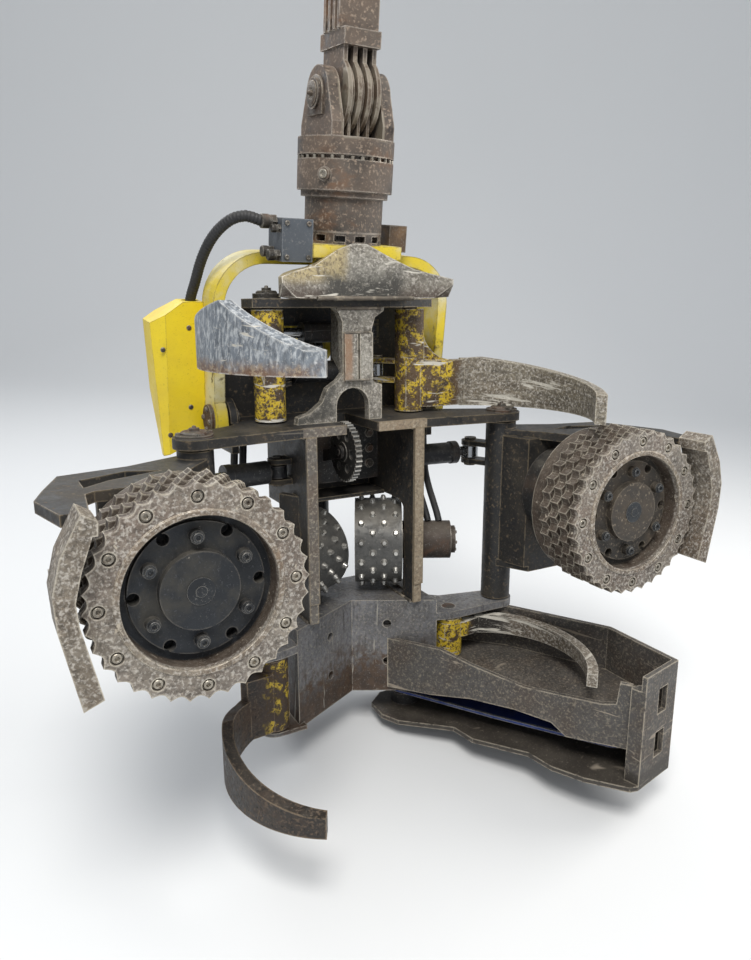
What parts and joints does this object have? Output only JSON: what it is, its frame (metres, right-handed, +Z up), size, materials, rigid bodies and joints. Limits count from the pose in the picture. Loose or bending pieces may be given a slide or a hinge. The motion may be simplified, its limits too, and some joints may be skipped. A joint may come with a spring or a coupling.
{
  "type": "timber harvester head with rotator and brake link",
  "caption": "Felling, feeding, delimbing and cross-cutting head with hinged knives, swinging feed roller arms, saw box, tilt frame, rotator and double brake link.",
  "frame": {"origin": "centre of the upper pin bore of the hanger link, where it hangs from the crane tip", "axes": "+Z up along the rotator, +X to the saw side of the head, -Y towards the open front that takes the stem"},
  "size_m": [1.812, 1.1661, 2.2236],
  "materials": {
    "link_steel": "dirty, brown-black",
    "yellow_paint": "scratched yellow paint",
    "dark_block": "dark grey paint",
    "brown_cover": "stained brown",
    "hose_rubber": "black hose",
    "pin_steel": "oiled steel",
    "frame_paint": "dark grey paint worn to steel",
    "box_steel": "worn and stained",
    "worn_steel": "scratched bare steel",
    "guard_steel": "worn steel",
    "motor_paint": "near-black",
    "motor_brown": "brown, dirty",
    "ring_steel": "worn and rusty",
    "hub_paint": "near-black",
    "stud_steel": "worn steel",
    "bar_blue": "deep blue",
    "cylinder_paint": "black paint",
    "rod_chrome": "chromed"
  },
  "bodies": {
    "link": {"hanger_link": "link_steel"},
    "rotator": {"rotator_bracket": "link_steel", "rotator_housing": "link_steel"},
    "tilt": {"rotor_flange": "link_steel", "tilt_frame": "yellow_paint", "tilt_cover_left": "yellow_paint", "tilt_cover_right": "yellow_paint", "port_block": "dark_block", "valve_cover": "brown_cover", "tilt_hose": "hose_rubber", "tilt_pins": "pin_steel"},
    "head": {"frame_shell": "frame_paint", "side_plate_left": "frame_paint", "side_plate_right": "frame_paint", "lower_housing": "frame_paint", "spine": "frame_paint", "roof_plate": "frame_paint", "top_knife": "worn_steel", "valve_block": "dark_block", "saw_box": "box_steel", "saw_hub": "pin_steel", "hinge_pins": "pin_steel", "inner_motor_left": "motor_brown", "inner_motor_right": "motor_brown"},
    "upper_left": {"upper_knife_left": "worn_steel"},
    "upper_right": {"upper_knife_right": "worn_steel"},
    "lower_left": {"lower_knife_left": "worn_steel"},
    "lower_right": {"lower_knife_right": "worn_steel"},
    "arm_left": {"arm_left": "frame_paint", "guard_left": "guard_steel", "roller_motor_left": "motor_paint"},
    "arm_right": {"arm_right": "frame_paint", "guard_right": "guard_steel", "roller_motor_right": "motor_paint"},
    "feed_left": {"feed_ring_left": "ring_steel", "feed_hub_left": "hub_paint"},
    "feed_right": {"feed_ring_right": "ring_steel", "feed_hub_right": "hub_paint"},
    "inner_left": {"inner_roller_left": "stud_steel"},
    "inner_right": {"inner_roller_right": "stud_steel"},
    "wheel": {"measuring_wheel": "stud_steel"},
    "bar": {"saw_bar": "bar_blue"},
    "tilt_barrel": {"tilt_barrel": "cylinder_paint"},
    "tilt_rod": {"tilt_rod": "rod_chrome"},
    "arm_left_cyl_barrel": {"arm_barrel_left": "cylinder_paint"},
    "arm_left_cyl_rod": {"arm_rod_left": "rod_chrome"},
    "arm_right_cyl_barrel": {"arm_barrel_right": "cylinder_paint"},
    "arm_right_cyl_rod": {"arm_rod_right": "rod_chrome"},
    "knife_left_cyl_barrel": {"knife_barrel_left": "cylinder_paint"},
    "knife_left_cyl_rod": {"knife_rod_left": "rod_chrome"},
    "knife_right_cyl_barrel": {"knife_barrel_right": "cylinder_paint"},
    "knife_right_cyl_rod": {"knife_rod_right": "rod_chrome"}
  },
  "joints": [
    {"name": "link_swing", "type": "hinge", "parent": "link", "child": "rotator", "pos_m": [0, 0, -0.28], "axis": [1, 0, 0], "range_deg": [-50, 50]},
    {"name": "rotator_turn", "type": "hinge", "parent": "rotator", "child": "tilt", "pos_m": [0, 0, -0.625], "axis": [0, 0, 1], "continuous": true},
    {"name": "head_tilt", "type": "hinge", "parent": "tilt", "child": "head", "pos_m": [0, 0.04, -1.1603], "axis": [1, 0, 0], "range_deg": [0, 105]},
    {"name": "tilt_swing", "type": "hinge", "parent": "head", "child": "tilt_barrel", "pos_m": [0, 0.08128, -1.89078], "axis": [1, 0, 0], "range_deg": [-1.96, 0.02]},
    {"name": "tilt_stroke", "type": "slide", "parent": "tilt_barrel", "child": "tilt_rod", "axis": [0, 0.1199, 0.9928], "range_m": [-0.35895, 0.00001]},
    {"name": "upper_knife_left_close", "type": "hinge", "parent": "head", "child": "upper_left", "pos_m": [-0.233, -0.03303, -1.00021], "axis": [0, 0.1219, 0.9925], "range_deg": [-15, 60]},
    {"name": "lower_knife_left_close", "type": "hinge", "parent": "head", "child": "lower_left", "pos_m": [-0.306, -0.28068, -1.87656], "axis": [0, 0.1219, 0.9925], "range_deg": [-11, 64]},
    {"name": "arm_left_close", "type": "hinge", "parent": "head", "child": "arm_left", "pos_m": [-0.495, -0.21875, -1.38041], "axis": [0, 0.1219, 0.9925], "range_deg": [0, 50]},
    {"name": "feed_left_spin", "type": "hinge", "parent": "arm_left", "child": "feed_left", "pos_m": [-0.62, -0.68525, -1.32313], "axis": [0, 0.9925, -0.1219], "continuous": true},
    {"name": "inner_left_spin", "type": "hinge", "parent": "head", "child": "inner_left", "pos_m": [-0.141, -0.06724, -1.58238], "axis": [0.8829, 0.466, -0.0572], "continuous": true},
    {"name": "arm_left_cyl_swing", "type": "hinge", "parent": "head", "child": "arm_left_cyl_barrel", "pos_m": [-0.225, -0.08746, -1.29578], "axis": [0, 0.1219, 0.9925], "range_deg": [-1.54, 0.02]},
    {"name": "arm_left_cyl_stroke", "type": "slide", "parent": "arm_left_cyl_barrel", "child": "arm_left_cyl_rod", "axis": [-0.9959, -0.0898, 0.011], "range_m": [-0.00001, 0.09272]},
    {"name": "knife_left_cyl_swing", "type": "hinge", "parent": "head", "child": "knife_left_cyl_barrel", "pos_m": [0.15, 0.07421, -0.9227], "axis": [0, 0.1219, 0.9925], "range_deg": [-0.52, 2.04]},
    {"name": "knife_left_cyl_stroke", "type": "slide", "parent": "knife_left_cyl_barrel", "child": "knife_left_cyl_rod", "axis": [-0.9999, 0.0135, -0.0017], "range_m": [-0.02729, 0.10914]},
    {"name": "upper_knife_right_close", "type": "hinge", "parent": "head", "child": "upper_right", "pos_m": [0.233, -0.03303, -1.00021], "axis": [0, -0.1219, -0.9925], "range_deg": [0, 75]},
    {"name": "lower_knife_right_close", "type": "hinge", "parent": "head", "child": "lower_right", "pos_m": [0.306, -0.28068, -1.87656], "axis": [0, -0.1219, -0.9925], "range_deg": [0, 75]},
    {"name": "arm_right_close", "type": "hinge", "parent": "head", "child": "arm_right", "pos_m": [0.495, -0.21875, -1.38041], "axis": [0, -0.1219, -0.9925], "range_deg": [0, 50]},
    {"name": "feed_right_spin", "type": "hinge", "parent": "arm_right", "child": "feed_right", "pos_m": [0.62, -0.68525, -1.32313], "axis": [0, 0.9925, -0.1219], "continuous": true},
    {"name": "inner_right_spin", "type": "hinge", "parent": "head", "child": "inner_right", "pos_m": [0.141, -0.06724, -1.58238], "axis": [0.8829, -0.466, 0.0572], "continuous": true},
    {"name": "arm_right_cyl_swing", "type": "hinge", "parent": "head", "child": "arm_right_cyl_barrel", "pos_m": [0.225, -0.08746, -1.29578], "axis": [0, 0.1219, 0.9925], "range_deg": [-0.02, 1.54]},
    {"name": "arm_right_cyl_stroke", "type": "slide", "parent": "arm_right_cyl_barrel", "child": "arm_right_cyl_rod", "axis": [0.9959, -0.0898, 0.011], "range_m": [-0.00001, 0.09272]},
    {"name": "knife_right_cyl_swing", "type": "hinge", "parent": "head", "child": "knife_right_cyl_barrel", "pos_m": [-0.15, 0.05959, -1.0418], "axis": [0, 0.1219, 0.9925], "range_deg": [-0.02, 0.5447]},
    {"name": "knife_right_cyl_stroke", "type": "slide", "parent": "knife_right_cyl_barrel", "child": "knife_right_cyl_rod", "axis": [0.9995, -0.0305, 0.0038], "range_m": [-0.00001, 0.13389]},
    {"name": "wheel_spin", "type": "hinge", "parent": "head", "child": "wheel", "pos_m": [-0.01, -0.10045, -1.25388], "axis": [1, 0, 0], "continuous": true},
    {"name": "saw_swing", "type": "hinge", "parent": "head", "child": "bar", "pos_m": [0.205, -0.19862, -2.07806], "axis": [0, -0.1219, -0.9925], "range_deg": [0, 105]}
  ],
  "couplings": [
    {"joint": "tilt_swing", "follows": "head_tilt", "ratio": -0.0185},
    {"joint": "tilt_stroke", "follows": "head_tilt", "m_per_rad": -0.19586},
    {"joint": "arm_left_cyl_swing", "follows": "arm_left_close", "ratio": -0.030399},
    {"joint": "arm_left_cyl_stroke", "follows": "arm_left_close", "m_per_rad": 0.10623},
    {"joint": "knife_left_cyl_swing", "follows": "upper_knife_left_close", "ratio": 0.033608},
    {"joint": "knife_left_cyl_stroke", "follows": "upper_knife_left_close", "m_per_rad": 0.10421},
    {"joint": "arm_right_cyl_swing", "follows": "arm_right_close", "ratio": 0.030399},
    {"joint": "arm_right_cyl_stroke", "follows": "arm_right_close", "m_per_rad": 0.10623},
    {"joint": "knife_right_cyl_swing", "follows": "upper_knife_right_close", "ratio": 0.0069965},
    {"joint": "knife_right_cyl_stroke", "follows": "upper_knife_right_close", "m_per_rad": 0.10228}
  ]
}
